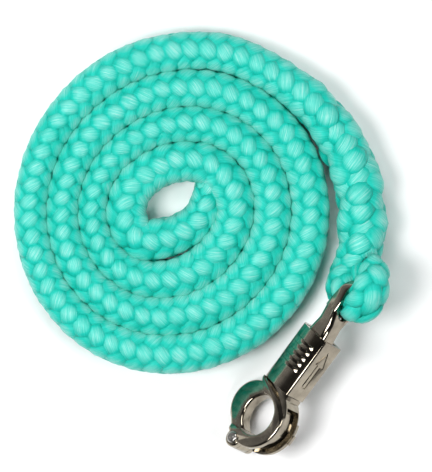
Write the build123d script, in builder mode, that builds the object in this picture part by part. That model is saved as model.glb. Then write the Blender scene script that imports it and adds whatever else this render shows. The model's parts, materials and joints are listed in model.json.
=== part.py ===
from build123d import *
import math
import os

# ------------------------------------------------------------------ sizes, mm and degrees
# How the snap lies: its long axis runs along +Y, rolled about that axis and tipped up at the eye.
snap_roll = 41.0
snap_pitch = 8.0
snap_x = -1.5
snap_y = -37.5
snap_z = 18.9

# Clearances shared by every fit.
running_gap = 0.05
sliding_gap = 0.3

# Hook ring: the fixed arm and the jaw share one round opening.
opening_radius = 13.4
opening_x = 2.4
opening_y = 0.4
arm_radius = 21.4
arm_thick = 18.0
arm_edge = 1.3
opening_edge = 0.9
arm_groove_wide = 11.4
arm_groove_deep = 3.6
arm_groove_start = -78.0
arm_groove_end = 46.0
lug_bottom = -3.0
lug_top = 3.6
lug_thick = 2.4
lug_out = 3.2

# Shoulder between the ring and the sleeve: where its sloping step runs, and how steep it is.
step_right = (21.5, 8.6)
step_middle = (5.5, 18.2)
step_left = (-9.0, 22.4)
step_slope = 0.8
shoulder_left = -10.6

# Jaw, its pivot rivet and the tongue that the sleeve holds shut.
jaw_radius = 16.6
jaw_x = -8.2
jaw_y = 1.5
jaw_thick = 9.0
jaw_edge = 1.6
pivot_x = -1.5
pivot_y = -20.0
pivot_boss = 5.7
rivet_radius = 2.4
rivet_head = 3.7
rivet_head_high = 1.5
rivet_dimple = 0.5
tongue_right = 0.5
tongue_rise = 2.2
tongue_clearance = 0.7

# Release sleeve: a flat-sided tube that slides on the eye's neck and the body's guide block.
sleeve_wide = 26.0
sleeve_thick = 16.0
sleeve_bottom = 22.0
sleeve_top = 62.0
sleeve_bulge = 10.0
sleeve_left = -14.0
sleeve_corner_x = -9.5
sleeve_corner_drop = 0.1
sleeve_edge = 1.2
bore_wide = 19.4
bore_thick = 13.0
bore_edge = 0.8
sleeve_travel = 9.0
web_bottom = 35.0
web_thick = 2.5
rib_count = 5
rib_pitch = 4.1
rib_first = 36.0
rib_wide = 2.0
rib_high = 1.4
rib_half_span = 9.0
rib_end_left = 8.6
rib_end_right = 9.3
arrow_start = 30.0
arrow_neck = 46.0
arrow_tip = 57.0
arrow_shaft = 2.0
arrow_head = 5.0
arrow_deep = 0.4

# Eye that the rope goes through, and the steel stem that ties it to the hook body.
neck_overlap = 5.0
neck_wide = 15.4
neck_corner = 3.0
eye_clear = 18.0
eye_long = 12.8
eye_radius = 9.0
eye_rim = 3.7
eye_wide = 10.4
eye_edge = 1.7
eye_tip_wide = 3.4
stem_radius = 3.0
stem_bottom = 28.0
stem_head_step = 1.4
stem_head_high = 1.8

# Coil spring round the stem.
spring_wire = 1.3
spring_turns = 6
spring_clear = 0.9
spring_end_gap = 0.1

# Rope: a flat coil, the lead that leaves it, the thicker splice, and the loop through the eye.
rope_diameter = 24.0
splice_diameter = 32.0
eye_loop_diameter = 9.0
coil_x = -116.7
coil_y = 35.5
coil_turned = 36.2
coil_end = 3.75
coil_steps = 24
coil_start = 25.9
coil_growth = 22.1
coil_shift_x = -5.3
coil_shift_x_growth = 1.7
coil_shift_y = 1.0
coil_shift_y_growth = 0.5
coil_oval_x = 2.3
coil_oval_x_growth = -1.0
coil_oval_y = -3.1
coil_oval_y_growth = 0.4
hole_x = -123.7
hole_y = 32.7
hole_wide = 12.5
hole_long = 15.0

# Route of the uncoiled rope: corners of the lead and the splice in the shared frame, and of the
# loop in the snap's own axes (across, along, above the ring's middle).
lead_route = [(-152.6, 128.0, 12.0), (-126.8, 134.5, 13.0)]
splice_start = (-100.0, 136.0, 16.0)
splice_route = [(-73.0, 131.5, 16.0), (-49.3, 121.1, 16.1), (-31.2, 105.7, 16.0), (-18.5, 89.3, 17.0)]
splice_end = (-9.8, 74.5, 20.0)
eye_loop_route = [(-13.0, 88.5, 0.0), (11.8, 88.5, 0.0), (11.8, 108.0, 0.0), (-6.0, 114.0, -3.0)]

# ------------------------------------------------------------------ working planes
roll = math.radians(snap_roll)
pitch = math.radians(snap_pitch)
snap_axis = Vector(0, math.cos(pitch), math.sin(pitch))
ring_normal = Vector(-math.sin(roll), -math.cos(roll) * math.sin(pitch), math.cos(roll) * math.cos(pitch))
ring_across = snap_axis.cross(ring_normal)
snap = Plane(origin=(snap_x, snap_y, snap_z), x_dir=ring_across, z_dir=ring_normal)


def level(height):
    """Plane parallel to the ring's face, this far above its middle."""
    return snap.offset(height)


def station(along, across=0.0):
    """Plane square to the snap's long axis: its x runs across the ring, its y towards the back."""
    start = snap.from_local_coords(Vector(across, along, 0))
    return Plane(origin=start, x_dir=ring_across, z_dir=snap_axis)


def side(across):
    """Plane square to the ring's width: its x runs along the snap, its y along the ring's normal."""
    start = snap.from_local_coords(Vector(across, 0, 0))
    return Plane(origin=start, x_dir=snap_axis, z_dir=ring_across)


def edges_at_level(part, height):
    """Edges of a part that lie in the plane level(height)."""
    plane = level(height)
    return part.edges().filter_by(lambda e: all(abs(plane.to_local_coords(v.center()).Z) < 1e-4
                                                for v in e.vertices())
                                  and abs(plane.to_local_coords(e.position_at(0.5)).Z) < 1e-4)


def local_point(edge):
    """An edge's middle in the snap's own axes."""
    return snap.to_local_coords(edge.position_at(0.5))


def save(part, name):
    part.label = name
    export_step(part, f"parts/{name}.step")


os.makedirs("parts", exist_ok=True)

# ------------------------------------------------------------------ hook body
shoulder_top = sleeve_bottom - sliding_gap
shoulder_right = sleeve_wide / 2
guide_wide = bore_wide - 2 * sliding_gap
guide_thick = bore_thick - 2 * sliding_gap
guide_bottom = sleeve_bottom + tongue_rise + 2.0
guide_top = web_bottom - sliding_gap
slot_thick = jaw_thick + 2 * sliding_gap
neck_thick = guide_thick + 0.4
tongue_left = -bore_wide / 2 + tongue_clearance
beyond = 40.0


def ring_sector(plane, thick, inner, outer, start, end):
    """Part of a flat ring round the hook's opening, from one angle to another."""
    with BuildPart() as sector:
        with BuildSketch(plane):
            with BuildLine():
                rim = CenterArc((opening_x, opening_y), outer, start, end - start)
                inside = CenterArc((opening_x, opening_y), inner, start, end - start)
                Line(rim @ 0, inside @ 0)
                Line(rim @ 1, inside @ 1)
            make_face()
        extrude(amount=thick)
    return sector.part


def rounded_ring(centre, inner, outer, thick, inner_edge, outer_edge):
    """Flat ring or disc with rounded rims about a point of the ring's plane."""
    middle = snap.from_local_coords(Vector(*centre, 0))
    with BuildPart() as ring:
        with BuildSketch(Plane(origin=middle, x_dir=ring_across, z_dir=-snap_axis)) as section:
            with Locations(((inner + outer) / 2, 0)):
                Rectangle(outer - inner, thick)
            fillet(section.vertices().group_by(Axis.X)[-1], outer_edge)
            if inner_edge:
                fillet(section.vertices().group_by(Axis.X)[0], inner_edge)
        revolve(axis=Axis(middle, ring_normal))
    return ring.part


def step_section(height, lower):
    """Section of the cut that thins the shoulder, its curved edge this much lower."""
    with BuildSketch(level(height)) as section:
        right, middle, left = [(x, y - lower) for x, y in (step_right, step_middle, step_left)]
        with BuildLine():
            ThreePointArc(right, middle, left)
            Polyline(left, (left[0], beyond), (right[0], beyond), right)
        make_face()
    return section.sketch


def shoulder_steps():
    """What is cut off the shoulder's two faces so that they slope down to the sleeve's thickness."""
    step_high = (arm_thick - neck_thick) / 2 + arm_edge
    with BuildPart() as steps:
        loft([step_section(neck_thick / 2, 0),
              step_section(neck_thick / 2 + step_high, step_high * step_slope)])
        mirror(about=snap)
    return steps.part


with BuildPart() as hook_body:
    add(rounded_ring((opening_x, opening_y), opening_radius, arm_radius, arm_thick, opening_edge, arm_edge))
    with BuildSketch(level(-arm_thick)):
        Polygon((opening_x, opening_y), (0.5, 12.0), (-9.5, 18.4), (shoulder_left - 0.5, 19.0), (-30, 19.0),
                (-30, -30), (-9.0, -30), (-8.5, -14.0), (-2.0, -14.0), align=None)
    extrude(amount=2 * arm_thick, mode=Mode.SUBTRACT)
    with BuildSketch(level(-arm_thick / 2)):
        Polygon((1.0, 10.0), (-9.5, 18.6), (shoulder_left, 20.2), (shoulder_left, shoulder_top),
                (shoulder_right, shoulder_top), (shoulder_right, 12.0), (opening_x + 2.0, 10.0), align=None)
        with Locations((opening_x, opening_y)):
            Circle(opening_radius + opening_edge, mode=Mode.SUBTRACT)
    extrude(amount=arm_thick)
    add(rounded_ring((pivot_x, pivot_y), 0, pivot_boss, arm_thick, 0, arm_edge))
    add(shoulder_steps(), mode=Mode.SUBTRACT)
    # slot for the jaw's tongue under the sleeve, and the fork round the jaw's pivot
    with BuildSketch(level(-slot_thick / 2)):
        Polygon((-30, 8.0), (tongue_right + sliding_gap, 8.0), (tongue_right + sliding_gap, 30.0),
                (-30, 30.0), align=None)
        Polygon((-30, -34), (pivot_x, -34), (pivot_x, pivot_y + pivot_boss + sliding_gap),
                (pivot_x + 1.0, -10.0), (-30, -8.0), align=None)
        with Locations((pivot_x, pivot_y)):
            Circle(pivot_boss + sliding_gap)
    extrude(amount=slot_thick, mode=Mode.SUBTRACT)
    # guide block inside the sleeve
    with BuildSketch(level(-guide_thick / 2)):
        Polygon((tongue_right + 1.0, shoulder_top - 3.0), (guide_wide / 2, shoulder_top - 3.0),
                (guide_wide / 2, guide_top), (-guide_wide / 2, guide_top), (-guide_wide / 2, guide_bottom),
                (tongue_right + 1.0, guide_bottom), align=None)
    extrude(amount=guide_thick)
    with BuildSketch(station(stem_bottom)):
        Circle(stem_radius + running_gap)
    extrude(amount=guide_top - stem_bottom, mode=Mode.SUBTRACT)
    with BuildSketch(level(-arm_thick)):
        with Locations((pivot_x, pivot_y)):
            Circle(rivet_radius + running_gap)
    extrude(amount=2 * arm_thick, mode=Mode.SUBTRACT)
    add(ring_sector(level(-arm_groove_wide / 2), arm_groove_wide, arm_radius - arm_groove_deep,
                    arm_radius + lug_out, arm_groove_start, arm_groove_end), mode=Mode.SUBTRACT)
    # casting lug on the back rim
    lug_inner = opening_x + arm_radius - arm_groove_deep + 0.8
    lug_outer = arm_radius + lug_out
    with BuildSketch(level(-arm_thick / 2 + 0.6)):
        Polygon((lug_inner, lug_bottom), (lug_outer, lug_bottom), (lug_outer, lug_top), (lug_inner, lug_top),
                align=None)
    extrude(amount=lug_thick)
save(hook_body.part, "hook_body")

# ------------------------------------------------------------------ jaw
with BuildPart() as jaw:
    with BuildSketch(level(-jaw_thick / 2)):
        with Locations((jaw_x, jaw_y)):
            Circle(jaw_radius)
        Polygon((-19.6, -9.6), (-5.9, -23.1), (pivot_x, pivot_y), (-1.8, -13.6), (-8.0, -6.0), align=None)
        Polygon((tongue_left, 10.0), (tongue_left, shoulder_top),
                (tongue_right, shoulder_top + tongue_rise), (tongue_right, 8.0), align=None)
        Polygon((tongue_right, 40.0), (tongue_right, 0), (-1.8, -12.8), (-1.8, -14.2), (30.0, -14.2),
                (30.0, 40.0), align=None, mode=Mode.SUBTRACT)
        with Locations((pivot_x, pivot_y)):
            Circle(pivot_boss)
        with Locations((opening_x, opening_y)):
            Circle(opening_radius, mode=Mode.SUBTRACT)
    extrude(amount=jaw_thick)
    for height in (-jaw_thick / 2, jaw_thick / 2):
        rim = edges_at_level(jaw.part, height)
        fillet(rim.filter_by(lambda e: local_point(e).X < -10.0), jaw_edge)
    with BuildSketch(level(-jaw_thick)):
        with Locations((pivot_x, pivot_y)):
            Circle(rivet_radius + running_gap)
    extrude(amount=2 * jaw_thick, mode=Mode.SUBTRACT)
save(jaw.part, "jaw")

# ------------------------------------------------------------------ jaw rivet
with BuildPart() as jaw_rivet:
    with BuildSketch(level(-arm_thick / 2 - rivet_head_high)):
        with Locations((pivot_x, pivot_y)):
            Circle(rivet_head)
    extrude(amount=rivet_head_high)
    with BuildSketch(level(-arm_thick / 2)):
        with Locations((pivot_x, pivot_y)):
            Circle(rivet_radius)
    extrude(amount=arm_thick)
    with BuildSketch(level(arm_thick / 2)):
        with Locations((pivot_x, pivot_y)):
            Circle(rivet_head)
    extrude(amount=rivet_head_high)
    for height in (-arm_thick / 2 - rivet_head_high, arm_thick / 2 + rivet_head_high):
        fillet(edges_at_level(jaw_rivet.part, height), rivet_head_high * 0.8)
    with BuildSketch(level(arm_thick / 2 + rivet_head_high - rivet_dimple)):
        with Locations((pivot_x, pivot_y)):
            Circle(rivet_head / 3)
    extrude(amount=rivet_head_high, mode=Mode.SUBTRACT)
save(jaw_rivet.part, "jaw_rivet")

# ------------------------------------------------------------------ release sleeve
sleeve_half = sleeve_thick / 2
sleeve_corner_y = sleeve_half - sleeve_corner_drop


def bore(along, length):
    """Blank that cuts the sleeve's rounded bore from one station on."""
    with BuildPart() as cutter:
        with BuildSketch(station(along)):
            RectangleRounded(bore_wide, bore_thick, bore_edge)
        extrude(amount=length)
    return cutter.part


def arrow(inset):
    """Outline of the pull-back arrow on the sleeve's flat side, or the same drawn this far inside."""
    start, neck = arrow_start + inset, arrow_neck + inset
    tip, shaft, head = arrow_tip - 2.8 * inset, arrow_shaft - inset, arrow_head - 1.8 * inset
    Polygon((start, -shaft), (neck, -shaft), (neck, -head), (tip, 0), (neck, head), (neck, shaft),
            (start, shaft), align=None, mode=Mode.SUBTRACT if inset else Mode.ADD)


with BuildPart() as sleeve:
    with BuildSketch(station(sleeve_bottom)) as section:
        with BuildLine():
            Line((shoulder_right, -sleeve_half), (shoulder_right, sleeve_half))
            upper = (sleeve_corner_x, sleeve_corner_y)
            lower = (sleeve_corner_x, -sleeve_corner_y)
            ThreePointArc((shoulder_right, sleeve_half), (1.0, sleeve_bulge), upper)
            ThreePointArc(upper, (sleeve_left, 0), lower)
            ThreePointArc(lower, (1.0, -sleeve_bulge), (shoulder_right, -sleeve_half))
        make_face()
        fillet(section.vertices().group_by(Axis.X)[-1], sleeve_edge)
    extrude(amount=sleeve_top - sleeve_bottom)
    for number in range(rib_count):
        with BuildSketch(station(rib_first + number * rib_pitch)):
            with BuildLine():
                for face in (-1, 1):
                    ThreePointArc((-rib_half_span, rib_end_left * face), (0, (sleeve_bulge + rib_high) * face),
                                  (rib_half_span, rib_end_right * face))
                Line((-rib_half_span, -rib_end_left), (-rib_half_span, rib_end_left))
                Line((rib_half_span, -rib_end_right), (rib_half_span, rib_end_right))
            make_face()
        extrude(amount=rib_wide)
    add(bore(sleeve_bottom, web_bottom - sleeve_bottom), mode=Mode.SUBTRACT)
    add(bore(web_bottom + web_thick, sleeve_top - web_bottom - web_thick), mode=Mode.SUBTRACT)
    with BuildSketch(station(web_bottom)):
        Circle(stem_radius + sliding_gap)
    extrude(amount=web_thick, mode=Mode.SUBTRACT)
    with BuildSketch(side(sleeve_wide / 2 - arrow_deep)):
        arrow(0)
        arrow(1.0)
    extrude(amount=2 * arrow_deep, mode=Mode.SUBTRACT)
save(sleeve.part, "release_sleeve")

# ------------------------------------------------------------------ rope eye
neck_bottom = sleeve_top - neck_overlap
eye_near = sleeve_top + eye_clear
eye_far = eye_near + eye_long
eye_slot_radius = eye_radius - eye_rim
eye_slot_near = eye_near + 1.6
stem_seat = eye_slot_near - eye_slot_radius
rim_middle = eye_radius - eye_rim / 2
stem_head_radius = stem_radius + stem_head_step


def neck_section(along, wide, thick, corner):
    """Rounded section of the neck, square to the snap's axis."""
    with BuildSketch(station(along)) as section:
        RectangleRounded(wide, thick, corner)
    return section.sketch


with BuildPart() as rope_eye:
    with BuildSketch(station(neck_bottom)):
        RectangleRounded(guide_wide, guide_thick, bore_edge)
    extrude(amount=sleeve_top - sliding_gap - neck_bottom)
    neck_root = neck_section(sleeve_top - sliding_gap, neck_wide, guide_thick, neck_corner)
    waist_place = sleeve_top + sleeve_travel + sliding_gap
    neck_waist = neck_section(waist_place, eye_wide + 2.0, guide_thick, neck_corner)
    eye_base = neck_section(eye_near, eye_wide, 2 * eye_radius, neck_corner)
    loft([neck_root, neck_waist])
    loft([neck_waist, eye_base])
    for face in (-1, 1):
        with BuildSketch(station(eye_near)):
            with Locations((0, face * rim_middle)):
                RectangleRounded(eye_wide, eye_rim, eye_edge)
        extrude(amount=eye_far - eye_near)
    with BuildSketch(station(eye_far)):
        with Locations((0, rim_middle)):
            RectangleRounded(eye_wide, eye_rim, eye_edge)
    revolve(axis=Axis(snap.from_local_coords(Vector(0, eye_far, 0)), ring_across), revolution_arc=180)
    with BuildSketch(side(-eye_wide)):
        with Locations((eye_slot_near, 0)):
            Circle(eye_slot_radius)
        with Locations(((eye_slot_near + eye_far) / 2, 0)):
            Rectangle(eye_far - eye_slot_near, 2 * eye_slot_radius)
    extrude(amount=2 * eye_wide, mode=Mode.SUBTRACT)
    # the rim narrows towards its far end
    with BuildSketch(level(-2 * eye_radius)):
        for face in (-1, 1):
            Polygon((face * eye_wide / 2, eye_near), (face * eye_tip_wide / 2, eye_far + eye_radius),
                    (face * eye_wide, eye_far + 2 * eye_radius), (face * 2 * eye_wide, eye_near), align=None)
    extrude(amount=4 * eye_radius, mode=Mode.SUBTRACT)
    with BuildSketch(station(neck_bottom)):
        Circle(stem_radius + running_gap)
    extrude(amount=eye_slot_near - neck_bottom, mode=Mode.SUBTRACT)
    with BuildSketch(station(stem_seat)):
        Circle(stem_head_radius + running_gap)
    extrude(amount=eye_slot_radius, mode=Mode.SUBTRACT)
save(rope_eye.part, "rope_eye")

# ------------------------------------------------------------------ centre stem
with BuildPart() as centre_stem:
    with BuildSketch(station(stem_bottom)):
        Circle(stem_radius)
    extrude(amount=stem_seat - stem_bottom)
    with BuildSketch(station(stem_seat)):
        Circle(stem_head_radius)
    extrude(amount=stem_head_high)
    rims = centre_stem.edges().filter_by(GeomType.CIRCLE).sort_by(Axis(snap.origin, snap_axis))
    fillet(rims[-1], stem_head_high / 2)
save(centre_stem.part, "centre_stem")

# ------------------------------------------------------------------ sleeve spring
spring_bottom = web_bottom + web_thick + spring_wire / 2 + spring_end_gap
spring_top = neck_bottom - spring_wire / 2 - spring_end_gap
spring_radius = stem_radius + sliding_gap + spring_wire / 2 + spring_clear
with BuildPart() as sleeve_spring:
    with BuildLine() as coil_line:
        Helix(pitch=(spring_top - spring_bottom) / spring_turns, height=spring_top - spring_bottom,
              radius=spring_radius, center=snap.from_local_coords(Vector(0, spring_bottom, 0)),
              direction=snap_axis)
    with BuildSketch(Plane(origin=coil_line.line @ 0, z_dir=coil_line.line % 0)):
        Circle(spring_wire / 2)
    sweep()
save(sleeve_spring.part, "sleeve_spring")

# ------------------------------------------------------------------ rope
def coil_point(turn, inward=0.0):
    """Point on the outer edge of the coil's pass at this many turns, or further in along the radius."""
    angle = math.tau * turn
    radius = (coil_start + coil_growth * turn
              + (coil_shift_x + coil_shift_x_growth * turn) * math.cos(angle)
              + (coil_shift_y + coil_shift_y_growth * turn) * math.sin(angle)
              + (coil_oval_x + coil_oval_x_growth * turn) * math.cos(2 * angle)
              + (coil_oval_y + coil_oval_y_growth * turn) * math.sin(2 * angle)) - inward
    bearing = math.radians(coil_turned) - angle
    return coil_x + radius * math.cos(bearing), coil_y + radius * math.sin(bearing)


def rope_tube(points, diameter):
    """Round tube along straight runs joined by tangent arcs; prints the arcs' radii."""
    corners = [Vector(*point) for point in points]
    radii = []
    for before, corner, after in zip(corners, corners[1:], corners[2:]):
        turn = math.radians((corner - before).get_angle(after - corner))
        radii.append(0.45 * min((corner - before).length, (after - corner).length) / math.tan(turn / 2))
    print("bend radii", [round(radius, 1) for radius in radii], "diameter", diameter)
    with BuildPart() as tube:
        with BuildLine() as route:
            FilletPolyline(*corners, radius=radii)
        with BuildSketch(Plane(origin=route.line @ 0, z_dir=route.line % 0)):
            Circle(diameter / 2)
        sweep()
    length = sum(edge.length for edge in route.edges())
    filled = tube.part.volume / (math.pi * diameter**2 / 4 * length)
    print("tube length", round(length, 1), "volume share", round(filled, 4))
    return tube.part


outline = [coil_point(coil_end - 1 + step / coil_steps) for step in range(coil_steps + 1)]
with BuildPart() as rope_coil:
    with BuildSketch():
        with BuildLine():
            Spline(*outline)
            Line(outline[-1], outline[0])
        make_face()
        with Locations(Location((hole_x, hole_y), -coil_turned)):
            Ellipse(hole_wide, hole_long, mode=Mode.SUBTRACT)
    extrude(amount=rope_diameter)
save(rope_coil.part, "rope_coil")

lead_start = (*coil_point(coil_end, rope_diameter / 2), rope_diameter / 2)
save(rope_tube([lead_start, *lead_route, splice_start], rope_diameter), "rope_lead")
save(rope_tube([splice_start, *splice_route, splice_end], splice_diameter), "rope_splice")

loop_route = [snap.from_local_coords(Vector(*point)) for point in eye_loop_route]
save(rope_tube([Vector(*splice_end), *loop_route], eye_loop_diameter), "rope_eye_loop")
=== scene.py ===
import json
import math

import bmesh
import bpy
import numpy as np
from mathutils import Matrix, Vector


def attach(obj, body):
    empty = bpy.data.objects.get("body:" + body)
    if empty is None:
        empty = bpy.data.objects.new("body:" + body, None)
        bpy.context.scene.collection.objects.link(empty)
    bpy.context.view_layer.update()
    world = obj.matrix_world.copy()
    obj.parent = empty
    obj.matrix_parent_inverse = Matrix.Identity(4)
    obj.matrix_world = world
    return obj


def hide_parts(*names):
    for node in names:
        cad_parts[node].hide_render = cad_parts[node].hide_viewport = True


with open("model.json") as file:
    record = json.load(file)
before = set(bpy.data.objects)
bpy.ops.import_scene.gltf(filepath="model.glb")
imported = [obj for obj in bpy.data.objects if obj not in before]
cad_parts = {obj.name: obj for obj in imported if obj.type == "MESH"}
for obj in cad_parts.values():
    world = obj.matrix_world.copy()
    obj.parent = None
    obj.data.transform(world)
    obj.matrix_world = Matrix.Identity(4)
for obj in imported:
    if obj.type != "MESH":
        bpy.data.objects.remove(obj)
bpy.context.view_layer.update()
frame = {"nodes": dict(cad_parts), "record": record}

MM = 0.001
UP = Vector((0, 0, 1))

# ---------------------------------------------------------------- the snap's own axes
mount = frame["record"]["mounts"][0]
joints = {joint["name"]: joint for joint in frame["record"]["behaviour"]["joints"]}
snap_axis = Vector(joints["sleeve_slide"]["axis"])
ring_normal = Vector(joints["jaw_pivot"]["axis"])
ring_across = snap_axis.cross(ring_normal)
OPENING_ACROSS = 2.4 * MM
OPENING_ALONG = 0.4 * MM
snap_origin = Vector(mount["pos_m"]) - ring_across * OPENING_ACROSS - snap_axis * OPENING_ALONG
# the eye's slot, along the snap in millimetres, and where the rope leaves it
SLOT_ALONG = 89


def on_snap(across, along, above):
    """A point of the snap's own axes, given in millimetres, in the shared frame."""
    return snap_origin + (ring_across * across + snap_axis * along + ring_normal * above) * MM


# ---------------------------------------------------------------- the rope's route
ROPE_RADIUS = 12.0 * MM
COIL_CENTRE = Vector((-116.7, 35.5, 0)) * MM
COIL_TURNED = math.radians(36.2)
COIL_FIRST = 0.36
COIL_LAST = 3.75
POINTS_PER_TURN = 24

# the coil's outer edge in millimetres: a spiral, and waves of one and two round each turn,
# each cosine and sine with its height at the middle and what it gains in a turn
SPIRAL_START = 25.9
SPIRAL_PITCH = 22.1
SPIRAL_WAVES = [(1, (-5.3, 1.7), (1.0, 0.5)), (2, (2.3, -1.0), (-3.1, 0.4))]
# the innermost turn lies a little slack, past the tip's own bend
INNER_SLACK = 6.0
SLACK_FROM = 0.3
SLACK_RISE = 4
INNERMOST_HALF_WIDTH = 12.2 * MM
WIDEST_HALF_WIDTH = 13.0 * MM

# control points that aren't in the coil, in millimetres; the eye's are on the snap's axes
LEAD_ROUTE = [(-152.6, 128.0, 12.0), (-126.8, 134.5, 13.0)]
SPLICE_START = (-100.0, 136.0, 16.0)
SPLICE_ROUTE = [(-73.0, 131.5, 16.0), (-49.3, 121.1, 16.1), (-31.2, 105.7, 16.0), (-18.5, 89.3, 17.0)]
SPLICE_END = (-9.8, 74.5, 20.0)
EYE_LOOP_ROUTE = [(-13.0, 88.5, 0.0), (11.8, 88.5, 0.0), (11.8, 108.0, 0.0), (-6.0, 114.0, -3.0)]
TIP_ROUTE = [(-104.5, 27.1, 12.0), (-103.4, 40.5, 12.0), (-106.4, 49.9, 12.0), (-112.1, 57.1, 12.0)]

CURVE_RESOLUTION = 16
STEP = 1.5 * MM
LINE_REACH = 3


def coil_radius(turn):
    """Distance from the coil's centre to the outer edge of the pass at this many turns."""
    radius = SPIRAL_START + SPIRAL_PITCH * turn
    for waves, (cosine, cosine_gain), (sine, sine_gain) in SPIRAL_WAVES:
        angle = waves * math.tau * turn
        radius += (cosine + cosine_gain * turn) * math.cos(angle)
        radius += (sine + sine_gain * turn) * math.sin(angle)
    slack = INNER_SLACK * max(0, 1 - turn) * min(max((turn - SLACK_FROM) * SLACK_RISE, 0), 1)
    return (radius + slack) * MM


def coil_half_width(turn):
    """Half the width that the neighbouring passes leave the rope."""
    if turn < 1:
        return INNERMOST_HALF_WIDTH
    return min((coil_radius(turn) - coil_radius(turn - 1)) / 2, WIDEST_HALF_WIDTH)


def coil_point(turn):
    """Middle of the rope at this many turns of the coil."""
    radius = coil_radius(turn) - coil_half_width(turn)
    bearing = COIL_TURNED - math.tau * turn
    outward = Vector((math.cos(bearing), math.sin(bearing), 0))
    return COIL_CENTRE + outward * radius + UP * ROPE_RADIUS


def route_points():
    """The rope's route from its tucked end, through the snap's eye, to the tip inside the coil."""
    points = [on_snap(*point) for point in reversed(EYE_LOOP_ROUTE)]
    leading = [SPLICE_END, *reversed(SPLICE_ROUTE), SPLICE_START, *reversed(LEAD_ROUTE)]
    points += [Vector(point) * MM for point in leading]
    steps = round((COIL_LAST - COIL_FIRST) * POINTS_PER_TURN)
    points += [coil_point(COIL_LAST - step / POINTS_PER_TURN) for step in range(steps + 1)]
    points += [Vector(point) * MM for point in TIP_ROUTE]
    return points


def spline_line(name, points):
    """Points along a NURBS spline that has these control points."""
    curve = bpy.data.curves.new(name, "CURVE")
    curve.dimensions = "3D"
    curve.resolution_u = CURVE_RESOLUTION
    spline = curve.splines.new("NURBS")
    spline.points.add(len(points) - 1)
    for control, point in zip(spline.points, points):
        control.co = (*point, 1)
    spline.order_u = 3
    spline.use_endpoint_u = True
    holder = bpy.data.objects.new(name, curve)
    bpy.context.scene.collection.objects.link(holder)
    bpy.context.view_layer.update()
    mesh = bpy.data.meshes.new_from_object(holder)
    line = np.array([vertex.co[:] for vertex in mesh.vertices])
    bpy.data.objects.remove(holder)
    bpy.data.meshes.remove(mesh)
    return line


def evenly(line, step):
    """The same line with its points this far apart, and each point's distance along it."""
    along = np.concatenate([[0], np.cumsum(np.linalg.norm(np.diff(line, axis=0), axis=1))])
    marks = np.linspace(0, along[-1], round(along[-1] / step) + 1)
    return np.stack([np.interp(marks, along, line[:, k]) for k in range(3)], axis=1), marks


def unit(vectors):
    """The same directions, each one long."""
    return vectors / np.linalg.norm(vectors, axis=-1, keepdims=True)


def smooth(values, reach):
    """Running mean over this many points each side, ends held."""
    start = np.repeat(values[:1], reach, 0)
    end = np.repeat(values[-1:], reach, 0)
    padded = np.concatenate([start, values, end])
    kernel = np.hanning(2 * reach + 3)[1:-1]
    kernel /= kernel.sum()
    if values.ndim == 1:
        return np.convolve(padded, kernel, "valid")
    columns = [np.convolve(padded[:, k], kernel, "valid") for k in range(values.shape[1])]
    return np.stack(columns, axis=1)


line, marks = evenly(spline_line("rope_route", route_points()), STEP)
line = smooth(line, LINE_REACH)
line, marks = evenly(line, STEP)
rope_length = marks[-1]


def mark_near(point):
    """Distance along the rope of its nearest place to a point."""
    return marks[np.linalg.norm(line - np.array(point), axis=1).argmin()]


at_slot = mark_near(on_snap(0, SLOT_ALONG, 0))
at_splice_end = mark_near(Vector(SPLICE_END) * MM)
at_splice_start = mark_near(Vector(SPLICE_START) * MM)
at_coil = mark_near(coil_point(COIL_LAST))

# ---------------------------------------------------------------- the rope's section
# half sizes, sideways and upright, in millimetres, at places along the rope
STATIONS = [
    # the tucked end and the loop's first side
    (0.0, 8.5, 8.0),
    (10 * MM, 11.0, 10.5),
    (at_slot - 24 * MM, 12.6, 11.8),
    (at_slot - 13 * MM, 12.8, 11.6),
    # pressed flat in the eye's slot
    (at_slot - 8 * MM, 12.0, 10.5),
    (at_slot - 4.5 * MM, 9.8, 5.1),
    (at_slot, 9.6, 4.9),
    (at_slot + 4.5 * MM, 9.8, 5.1),
    (at_slot + 8 * MM, 10.8, 8.6),
    (at_slot + 13 * MM, 11.2, 9.6),
    # the thicker spliced length
    (at_splice_end, 13.8, 11.8),
    (at_splice_end + 16 * MM, 15.6, 15.2),
    (at_splice_end + 60 * MM, 15.4, 15.3),
    (at_splice_start - 24 * MM, 14.0, 14.4),
    # the plain rope, and its tip
    (at_splice_start + 14 * MM, 12.2, 12.2),
    (at_coil, 12.0, 12.0),
    (rope_length - 30 * MM, 12.0, 12.0),
    (rope_length - 8 * MM, 10.0, 10.0),
    (rope_length, 7.5, 7.5)]
SECTION_REACH = 3
COIL_PRESS = 1.04
COIL_LEAST_HALF = 9.0 * MM
COILED_FROM_TURN = 0.3
ON_FLOOR_SHARE = 0.99
SQUARE_TO_RING_PAST_SLOT = 12 * MM
UPRIGHT_PAST_SPLICE_END = 25 * MM

places, widths, heights = zip(*STATIONS)
wide = np.interp(marks, places, np.array(widths) * MM)
high = np.interp(marks, places, np.array(heights) * MM)

# inside the coil each pass is as wide as its neighbours leave it; each point's count of turns is the
# one nearest to the point before it
flat = line[:, :2] - np.array(COIL_CENTRE)[:2]
bearing = (COIL_TURNED - np.arctan2(flat[:, 1], flat[:, 0])) / math.tau % 1
turns = np.full(len(marks), COIL_LAST)
turn = COIL_LAST
for index in np.flatnonzero(marks > at_coil):
    turn += (bearing[index] - turn % 1 + 0.5) % 1 - 0.5
    turns[index] = turn
coiled = (marks > at_coil) & (turns > COILED_FROM_TURN)
room = np.array([coil_half_width(value) for value in turns]) * COIL_PRESS
wide = np.where(coiled, np.maximum(room, COIL_LEAST_HALF), wide)
wide = smooth(wide, SECTION_REACH)
high = smooth(high, SECTION_REACH)
line[:, 2] = np.maximum(line[:, 2], high * ON_FLOOR_SHARE)

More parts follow.
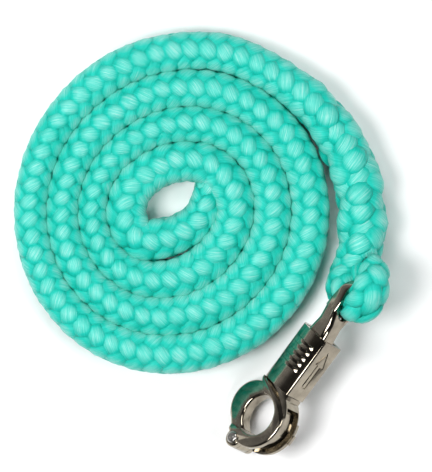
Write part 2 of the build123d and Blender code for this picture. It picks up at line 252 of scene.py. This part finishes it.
# the section stands square to the snap's ring at the eye, and upright from the splice on
tangent = unit(np.gradient(line, axis=0))
tilt_places = [0, at_slot + SQUARE_TO_RING_PAST_SLOT, at_splice_end + UPRIGHT_PAST_SPLICE_END, rope_length]
tilt = np.interp(marks, tilt_places, [1, 1, 0, 0])[:, None]
upward = tilt * np.array(ring_normal) + (1 - tilt) * np.array(UP)
upward = unit(upward - (upward * tangent).sum(1, keepdims=True) * tangent)
sideways = np.cross(tangent, upward)

# ---------------------------------------------------------------- the braid
STRANDS_EACH_WAY = 6
BRAID_LEAD = 63 * MM
FIRST_STRAND_AT = math.pi / 16
# two over and two under: the pattern repeats every fourth crossing
CROSSINGS_PER_REPEAT = 4
STRANDS_PAST_PER_NUMBER = 2
HALF_CROSSING = 0.5

# a strand's half width, half thickness and dip under the others, as shares of the rope's half size
STRAND_WIDE = 0.44
STRAND_THICK = 0.235
STRAND_RIDE = 0.115
RIDE_FLATNESS = 0.9
RIDE_WIDENS = 0.14
RIDE_THICKENS = 0.12
CORE_SHARE = 0.62
SQUARENESS = 2.7

# corners round a strand, the length that one step of its map covers, and its clearance of the floor
SECTION = 10
MAP_LENGTH = 10 * MM
FLOOR_GAP = 0.05 * MM

# how high a place on a strand is, which sets its painted shade and painted highlight: halfway, and what
# riding and its own round add
CROWN_MIDDLE = 0.5
CROWN_BY_RIDE = 0.3
CROWN_BY_ROUND = 0.2

# unevenness: its seed, how much on plain rope, how much more where spliced, and the length of its waves
UNEVEN_TURN = (0, 0.08, 0.10, 43 * MM)
UNEVEN_LIFT = (5, 0.020, 0.025, 24 * MM)
UNEVEN_WIDTH = (9, 0.09, 0.0, 23 * MM)
LEFT_HAND_SEED = 20
# share of that length, shift and height of each wave
WANDER_WAVES = [(1.0, 1.7, 0.5), (0.37, 2.9, 0.3), (2.3, 4.1, 0.4)]
# bulges round the spliced length, the twist's pitch in millimetres, shift and height of each swelling
SPLICE_SWELLS = [(2, 29, 0.0, 0.095), (3, -31, 1.0, 0.035), (1, 19, 0.0, 0.020)]
SPLICE_SINK = 0.05

spliced_places = [0, at_splice_end, at_splice_start - 20 * MM, at_splice_start + 20 * MM]
spliced = np.interp(marks, spliced_places, [0.7, 1, 1, 0])


def wander(seed, pitch):
    """Slow, repeatable unevenness along the rope, about -1 to 1."""
    return sum(height * np.sin(math.tau * marks / (pitch * share) + seed * shift)
               for share, shift, height in WANDER_WAVES)


def uneven(kind, strand_seed):
    """Unevenness of one kind, stronger where the rope is spliced."""
    seed, plain, added, pitch = kind
    return (plain + added * spliced) * wander(strand_seed + seed, pitch)


def lumps(angle):
    """Share by which the spliced length swells where the tucked strands bulge in a slow twist."""
    swell = sum(height * np.sin(bulges * angle + math.tau * marks / (pitch * MM) + shift)
                for bulges, pitch, shift, height in SPLICE_SWELLS)
    return spliced * (swell - SPLICE_SINK)


def squared(angle):
    """How much further out a pressed, squarish section reaches than an ellipse at this angle."""
    sides = np.abs(np.cos(angle)) ** SQUARENESS + np.abs(np.sin(angle)) ** SQUARENESS
    return sides ** (-1 / SQUARENESS)


def strand(number, hand):
    """One strand: its centre line, half its width and thickness as vectors, and how it rides, -1 to 1."""
    crossing = 2 * STRANDS_EACH_WAY * marks / BRAID_LEAD
    repeats = (hand * crossing + STRANDS_PAST_PER_NUMBER * number + HALF_CROSSING) / CROSSINGS_PER_REPEAT
    wave = hand * np.sin(math.tau * repeats)
    ride = np.tanh(RIDE_FLATNESS * wave) / math.tanh(RIDE_FLATNESS)
    seed = number if hand > 0 else number + LEFT_HAND_SEED
    angle = hand * math.tau * marks / BRAID_LEAD + math.tau * number / STRANDS_EACH_WAY + FIRST_STRAND_AT
    angle = angle + uneven(UNEVEN_TURN, seed)
    out = 1 - STRAND_THICK - STRAND_RIDE * (1 - ride) + uneven(UNEVEN_LIFT, seed)
    out = out * (1 + lumps(angle)) * np.where(coiled, squared(angle), 1.0)
    centre = (line + (np.cos(angle) * wide * out)[:, None] * sideways
              + (np.sin(angle) * high * out)[:, None] * upward)
    outward = unit((np.cos(angle) / wide)[:, None] * sideways
                   + (np.sin(angle) / high)[:, None] * upward)
    along = unit(np.gradient(centre, axis=0))
    across = unit(np.cross(along, outward))
    outward = np.cross(across, along)
    size = np.sqrt(wide * high)
    half_wide = size * STRAND_WIDE * (1 + RIDE_WIDENS * ride + uneven(UNEVEN_WIDTH, seed))
    half_thick = size * STRAND_THICK * (1 + RIDE_THICKENS * ride)
    return centre, across * half_wide[:, None], outward * half_thick[:, None], ride


def swept_mesh(name, sweeps, material):
    """One mesh of several swept sections, with a map that runs along and round each."""
    vertices, faces, uvs, crowns = [], [], [], []
    turned = np.arange(SECTION) * math.tau / SECTION
    start = 0
    for number, (centre, across, outward, ride) in enumerate(sweeps):
        count = len(centre)
        rings = (centre[:, None] + np.cos(turned)[None, :, None] * across[:, None]
                 + np.sin(turned)[None, :, None] * outward[:, None])
        rings[..., 2] = np.maximum(rings[..., 2], FLOOR_GAP)
        vertices.append(rings.reshape(-1, 3))
        # how high each place lies on its strand, which the rope's material turns into painted shade and
        # highlight
        crown = CROWN_MIDDLE + CROWN_BY_RIDE * ride[:, None] + CROWN_BY_ROUND * np.sin(turned)[None, :]
        crowns.append(crown.ravel())
        for ring in range(count - 1):
            low, top = marks[ring] / MAP_LENGTH, marks[ring + 1] / MAP_LENGTH
            base = start + ring * SECTION
            above = base + SECTION
            for corner in range(SECTION):
                after = (corner + 1) % SECTION
                faces.append((base + corner, base + after, above + after, above + corner))
                near = number + corner / SECTION
                far = number + (corner + 1) / SECTION
                uvs += [(low, near), (low, far), (top, far), (top, near)]
        last = start + (count - 1) * SECTION
        faces.append(tuple(start + corner for corner in reversed(range(SECTION))))
        faces.append(tuple(last + corner for corner in range(SECTION)))
        uvs += [(0, number)] * (2 * SECTION)
        start += count * SECTION
    mesh = bpy.data.meshes.new(name)
    mesh.from_pydata(np.concatenate(vertices).tolist(), [], faces)
    layer = mesh.uv_layers.new(name="along_strand")
    layer.data.foreach_set("uv", np.array(uvs, float).ravel())
    crown = mesh.attributes.new("crown", "FLOAT", "POINT")
    crown.data.foreach_set("value", np.concatenate(crowns))
    mesh.shade_smooth()
    piece = bpy.data.objects.new(name, mesh)
    bpy.context.scene.collection.objects.link(piece)
    piece.data.materials.append(material)
    return piece


# ---------------------------------------------------------------- tools for materials
def new_material(name, colour, roughness, metallic=0.0):
    """A material, its node tree and its shader."""
    material = bpy.data.materials.new(name)
    material.use_nodes = True
    tree = material.node_tree
    shader = tree.nodes["Principled BSDF"]
    shader.inputs["Base Color"].default_value = (*colour, 1)
    shader.inputs["Roughness"].default_value = roughness
    shader.inputs["Metallic"].default_value = metallic
    return material, tree, shader


def object_place(tree):
    """Coordinates fixed to the piece."""
    return tree.nodes.new("ShaderNodeTexCoord").outputs["Object"]


def pattern(tree, source, scale, detail=3.0, roughness=0.55, stretch=(1, 1, 1)):
    """A noise pattern on the given coordinates."""
    mapping = tree.nodes.new("ShaderNodeMapping")
    mapping.inputs["Scale"].default_value = stretch
    tree.links.new(source, mapping.inputs["Vector"])
    noise = tree.nodes.new("ShaderNodeTexNoise")
    noise.inputs["Scale"].default_value = scale
    noise.inputs["Detail"].default_value = detail
    noise.inputs["Roughness"].default_value = roughness
    tree.links.new(mapping.outputs["Vector"], noise.inputs["Vector"])
    return noise.outputs["Fac"]


def spread(tree, value, given, wanted):
    """A pattern's values moved from one range to another."""
    ranged = tree.nodes.new("ShaderNodeMapRange")
    ranged.inputs["From Min"].default_value, ranged.inputs["From Max"].default_value = given
    ranged.inputs["To Min"].default_value, ranged.inputs["To Max"].default_value = wanted
    tree.links.new(value, ranged.inputs["Value"])
    return ranged.outputs["Result"]


def ramp(tree, value, stops):
    """Colours along a pattern's values."""
    colours = tree.nodes.new("ShaderNodeValToRGB")
    for _ in stops[2:]:
        colours.color_ramp.elements.new(0.5)
    for element, (place, colour) in zip(colours.color_ramp.elements, stops):
        element.position = place
        element.color = (*colour, 1)
    tree.links.new(value, colours.inputs["Fac"])
    return colours.outputs["Color"]


def multiplied(tree, factor, first, second):
    """Two colours multiplied, the second by this share of its strength."""
    mix = tree.nodes.new("ShaderNodeMix")
    mix.data_type = "RGBA"
    mix.blend_type = "MULTIPLY"
    mix.inputs["Factor"].default_value = factor
    tree.links.new(first, mix.inputs["A"])
    tree.links.new(second, mix.inputs["B"])
    return mix.outputs["Result"]


def raise_surface(tree, shader, value, strength, distance):
    """A bump from a pattern, on top of any bump already there."""
    bump = tree.nodes.new("ShaderNodeBump")
    bump.inputs["Strength"].default_value = strength
    bump.inputs["Distance"].default_value = distance
    tree.links.new(value, bump.inputs["Height"])
    if shader.inputs["Normal"].links:
        tree.links.new(shader.inputs["Normal"].links[0].from_socket, bump.inputs["Normal"])
    tree.links.new(bump.outputs["Normal"], shader.inputs["Normal"])


# ---------------------------------------------------------------- materials
MINT = (0.03, 0.50, 0.37)
MINT_GLEAM = (0.45, 1.0, 0.92, 1)
MINT_FUZZ = (0.6, 1.0, 0.92, 1)
# from painted shade in the creases between strands to painted highlight on the top of a strand
CREASE_SHADE_TO_CROWN_HIGHLIGHT = [(0.45, (0.0, 0.13, 0.10)), (0.68, (0.0, 0.38, 0.29)),
                   (0.88, (0.008, 0.55, 0.44)), (1.0, (0.13, 0.66, 0.56))]
# from the dull filaments to the pale ones, whose whitening is painted sheen
FILAMENT_TINTS_AND_PAINTED_SHEEN = [(0.36, (0.40, 0.86, 0.83)), (0.50, (1.0, 1.0, 1.0)), (0.64, (3.4, 1.14, 1.22))]
CLOUD_TINTS = [(0.3, (0.55, 0.92, 0.90)), (0.7, (1.25, 1.0, 1.02))]
SEALED_MINT = (0.05, 0.55, 0.45)
SEALED_COLOURS = [(0.3, (0.01, 0.33, 0.26)), (0.7, (0.10, 0.68, 0.56))]
DARK_NICKEL = (0.40, 0.355, 0.28)
BRIGHT_STEEL = (0.50, 0.48, 0.45)
TARNISH_SHARE = 0.72
POLISHED_SHARE = 0.75
SCUFFED_SHARE = 1.6
WIRE_STEEL = (0.55, 0.54, 0.52)
WIRE_COLOURS = [(0.3, (0.42, 0.41, 0.40)), (0.7, (0.60, 0.59, 0.57))]
FLOOR_GREY = (0.93, 0.93, 0.93)
FLOOR_GREYS = [(0.3, (0.92, 0.92, 0.925)), (0.7, (0.94, 0.94, 0.94))]


def rope_fibre():
    """Soft filament yarn: pale satin streaks with painted sheen and painted highlight on each strand's
    crown, deep green painted shade in the creases.
    """
    material, tree, shader = new_material("mint_filament_yarn", MINT, roughness=0.45)
    along = tree.nodes.new("ShaderNodeUVMap")
    along.uv_map = "along_strand"
    filaments = along.outputs["UV"]
    crown = tree.nodes.new("ShaderNodeAttribute")
    crown.attribute_name = "crown"
    streaks = pattern(tree, filaments, scale=1.0, detail=5.0, roughness=0.7, stretch=(1.2, 56.0, 1))
    fine = pattern(tree, filaments, scale=1.0, detail=2.0, roughness=0.5, stretch=(1.0, 120.0, 1))
    cloudy = pattern(tree, object_place(tree), scale=70.0, detail=2.0)
    # painted shade in the creases and painted highlight on the crowns, by how high each place lies on its
    # strand
    body = ramp(tree, crown.outputs["Fac"], CREASE_SHADE_TO_CROWN_HIGHLIGHT)
    # filament streaks: darker dull filaments, and pale ones whose whitening is painted sheen
    body = multiplied(tree, 0.9, body, ramp(tree, streaks, FILAMENT_TINTS_AND_PAINTED_SHEEN))
    body = multiplied(tree, 0.6, body, ramp(tree, cloudy, CLOUD_TINTS))
    tree.links.new(body, shader.inputs["Base Color"])
    tree.links.new(spread(tree, streaks, (0.3, 0.7), (0.40, 0.24)), shader.inputs["Roughness"])
    shader.inputs["Specular IOR Level"].default_value = 0.45
    shader.inputs["Specular Tint"].default_value = MINT_GLEAM
    shader.inputs["Sheen Weight"].default_value = 0.05
    shader.inputs["Sheen Roughness"].default_value = 0.4
    shader.inputs["Sheen Tint"].default_value = MINT_FUZZ
    raise_surface(tree, shader, streaks, strength=0.6, distance=0.7 * MM)
    raise_surface(tree, shader, fine, strength=0.4, distance=0.3 * MM)
    return material


def sealed_fibre():
    """The rope's melted end: the same green, fused, darker and shinier."""
    material, tree, shader = new_material("heat_sealed_yarn", SEALED_MINT, roughness=0.28)
    blobs = pattern(tree, object_place(tree), scale=260.0, detail=4.0, roughness=0.6)
    tree.links.new(ramp(tree, blobs, SEALED_COLOURS), shader.inputs["Base Color"])
    tree.links.new(spread(tree, blobs, (0.3, 0.7), (0.18, 0.42)), shader.inputs["Roughness"])
    raise_surface(tree, shader, blobs, strength=0.6, distance=0.8 * MM)
    return material


def plated_casting(name, colour, roughness):
    """Bright plating on metal: faint waviness, fine scuffs and patchy gloss."""
    material, tree, shader = new_material(name, colour, roughness, metallic=1.0)
    place = object_place(tree)
    waves = pattern(tree, place, scale=90.0, detail=2.0)
    scuffs = pattern(tree, place, scale=900.0, detail=5.0, roughness=0.7, stretch=(1.0, 0.25, 1.0))
    patches = pattern(tree, place, scale=160.0, detail=4.0)
    tarnished = tuple(TARNISH_SHARE * part for part in colour)
    tree.links.new(ramp(tree, patches, [(0.35, tarnished), (0.65, colour)]), shader.inputs["Base Color"])
    gloss = spread(tree, scuffs, (0.35, 0.75), (roughness * POLISHED_SHARE, roughness * SCUFFED_SHARE))
    tree.links.new(gloss, shader.inputs["Roughness"])
    raise_surface(tree, shader, waves, strength=0.10, distance=1.0 * MM)
    raise_surface(tree, shader, scuffs, strength=0.05, distance=0.1 * MM)
    return material


def drawn_wire():
    """Bright drawn spring wire with faint lines."""
    material, tree, shader = new_material("drawn_spring_wire", WIRE_STEEL, roughness=0.3, metallic=1.0)
    place = object_place(tree)
    lines = pattern(tree, place, scale=1200.0, detail=3.0, roughness=0.6, stretch=(1.0, 0.2, 1.0))
    tree.links.new(spread(tree, lines, (0.3, 0.7), (0.22, 0.42)), shader.inputs["Roughness"])
    tree.links.new(ramp(tree, lines, WIRE_COLOURS), shader.inputs["Base Color"])
    return material


def pale_floor():
    """A plain pale floor with the faintest unevenness."""
    material, tree, shader = new_material("pale_floor", FLOOR_GREY, roughness=0.6)
    unevenness = pattern(tree, object_place(tree), scale=3.0, detail=2.0)
    tree.links.new(ramp(tree, unevenness, FLOOR_GREYS), shader.inputs["Base Color"])
    shader.inputs["Specular IOR Level"].default_value = 0.1
    return material


# ---------------------------------------------------------------- the rope's pieces
# the sealed tip: each place along it, from the rope's end, and its half size there, in millimetres
TIP_PROFILE = [(-7, 6.6), (-4, 7.6), (-1, 7.9), (2, 7.5), (4, 6.6), (5.4, 5.2), (6.2, 3.2), (6.6, 0.5)]


def laid_strands(name, hand, material):
    """All the strands that are laid one way, as one piece."""
    return swept_mesh(name, [strand(number, hand) for number in range(STRANDS_EACH_WAY)], material)


def rope_core(material):
    """The plain core that the strands lie on, seen only as the dark painted shade of the creases."""
    across = sideways * (wide * CORE_SHARE)[:, None]
    outward = upward * (high * CORE_SHARE)[:, None]
    # riding lowest puts the whole core in the darkest painted crease shade
    deepest = np.full(len(marks), -1.0)
    return swept_mesh("rope_core", [(line, across, outward, deepest)], material)


def sealed_tip(material):
    """The rope's melted and rounded far end."""
    distances, sizes = np.array(TIP_PROFILE).T * MM
    centre = line[-1] + distances[:, None] * tangent[-1]
    across = sizes[:, None] * sideways[-1]
    outward = sizes[:, None] * upward[-1]
    return swept_mesh("rope_sealed_tip", [(centre, across, outward, np.zeros(len(sizes)))], material)


fibre = rope_fibre()
clockwise = laid_strands("rope_strands_right_laid", 1, fibre)
counter = laid_strands("rope_strands_left_laid", -1, fibre)
inside = rope_core(fibre)
tip = sealed_tip(sealed_fibre())
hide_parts("rope_coil", "rope_lead", "rope_splice", "rope_eye_loop")
for piece in (clockwise, counter, inside, tip):
    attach(piece, "frame")

# ---------------------------------------------------------------- the snap's pieces
MERGE_DISTANCE = 0.002 * MM
FLAT_WITHIN = math.radians(1.0)
SHARP_EDGE = math.radians(28)
SMOOTH_BELOW = math.radians(35)
EDGE_SEGMENTS = 3


def cast_copy(node, material, edge):
    """The node's own shape with rounded edges, as a piece that stands for it."""
    mesh = frame["nodes"][node].data.copy()
    mesh.name = node + "_cast"
    shape = bmesh.new()
    shape.from_mesh(mesh)
    bmesh.ops.remove_doubles(shape, verts=shape.verts, dist=MERGE_DISTANCE)
    bmesh.ops.dissolve_limit(shape, angle_limit=FLAT_WITHIN, verts=shape.verts, edges=shape.edges)
    shape.to_mesh(mesh)
    shape.free()
    mesh.materials.clear()
    mesh.materials.append(material)
    piece = bpy.data.objects.new(node + "_cast", mesh)
    bpy.context.scene.collection.objects.link(piece)
    bpy.ops.object.select_all(action="DESELECT")
    bpy.context.view_layer.objects.active = piece
    piece.select_set(True)
    if edge:
        bevel = piece.modifiers.new("rounded_edges", "BEVEL")
        bevel.width = edge
        bevel.segments = EDGE_SEGMENTS
        bevel.limit_method = "ANGLE"
        bevel.angle_limit = SHARP_EDGE
        bevel.use_clamp_overlap = True
        bpy.ops.object.modifier_apply(modifier=bevel.name)
    bpy.ops.object.shade_smooth_by_angle(angle=SMOOTH_BELOW)
    return piece


casting = plated_casting("dark_nickel_plating", DARK_NICKEL, roughness=0.10)
steel = plated_casting("bright_steel", BRIGHT_STEEL, roughness=0.2)
wire = drawn_wire()

# node, material, body, the record's slot, and how wide its edges are rounded
SNAP_PIECES = [
    ("hook_body", casting, "frame", "snap_casting", 0.7 * MM),
    ("jaw", casting, "jaw", "snap_casting", 0.6 * MM),
    ("release_sleeve", casting, "sleeve", "snap_casting", 0.5 * MM),
    ("rope_eye", casting, "frame", "snap_casting", 1.6 * MM),
    ("jaw_rivet", steel, "frame", "snap_steel", 0),
    ("centre_stem", steel, "frame", "snap_steel", 0),
    ("sleeve_spring", wire, "frame", "spring_steel", 0)]

for node, material, body, slot, edge in SNAP_PIECES:
    piece = cast_copy(node, material, edge)
    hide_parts(node)
    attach(piece, body)

# ---------------------------------------------------------------- floor and camera
FLOOR_SIZE = 12
VIEW_CENTRE = Vector((-88.9, 34.7, 12.0)) * MM
VIEW_RIGHT = Vector((0.8070, 0.5906, 0))
VIEW_UP = Vector((-0.5906, 0.8070, 0))
VIEW_TALL = 287.9 * MM
LENS = 600
SENSOR = 36
SEE_AS_FAR_AS = 100

bpy.ops.mesh.primitive_plane_add(size=FLOOR_SIZE, location=(0, 0, 0))
floor = bpy.context.object
floor.name = "floor"
floor.data.materials.append(pale_floor())

camera_data = bpy.data.cameras.new("camera")
camera_data.lens = LENS
camera_data.sensor_width = SENSOR
camera_data.clip_end = SEE_AS_FAR_AS
camera = bpy.data.objects.new("camera", camera_data)
bpy.context.scene.collection.objects.link(camera)
camera.location = VIEW_CENTRE + UP * (VIEW_TALL * LENS / SENSOR)
camera.rotation_euler = (0, 0, math.atan2(VIEW_RIGHT.y, VIEW_RIGHT.x))
bpy.context.scene.camera = camera

# ---------------------------------------------------------------- light
# each softbox's place in metres, to the view's right, towards its top and up, then its side and its watts
SOFTBOXES = {
    "main_softbox": (-0.85, -0.2, 1.6, 0.8, 29),
    "back_softbox": (-0.2, 1.2, 1.5, 0.9, 15),
    "fill_softbox": (1.2, -0.4, 1.6, 0.7, 15)}
# the room's grey from straight across, up to straight overhead
ROOM_GREYS = [
    (0.0, (0.45, 0.45, 0.45)), (0.16, (0.30, 0.30, 0.31)), (0.34, (0.05, 0.05, 0.05)),
    (0.70, (0.01, 0.01, 0.01)), (1.0, (0.01, 0.01, 0.01))]


def softbox(name, right, up, high, size, power):
    """A square soft light, aimed at the object, placed in the view's own directions."""
    lamp = bpy.data.lights.new(name, "AREA")
    lamp.size = size
    lamp.energy = power
    light = bpy.data.objects.new(name, lamp)
    bpy.context.scene.collection.objects.link(light)
    light.location = VIEW_CENTRE + VIEW_RIGHT * right + VIEW_UP * up + UP * high
    light.rotation_euler = (VIEW_CENTRE - light.location).to_track_quat("-Z", "Y").to_euler()


for name, setting in SOFTBOXES.items():
    softbox(name, *setting)

world = bpy.data.worlds.new("studio")
bpy.context.scene.world = world
world.use_nodes = True
room = world.node_tree
heading = room.nodes.new("ShaderNodeSeparateXYZ")
room.links.new(room.nodes.new("ShaderNodeTexCoord").outputs["Generated"], heading.inputs["Vector"])
room.links.new(ramp(room, heading.outputs["Z"], ROOM_GREYS), room.nodes["Background"].inputs["Color"])
room.nodes["Background"].inputs["Strength"].default_value = 1.0
bpy.context.scene.view_settings.view_transform = "Standard"
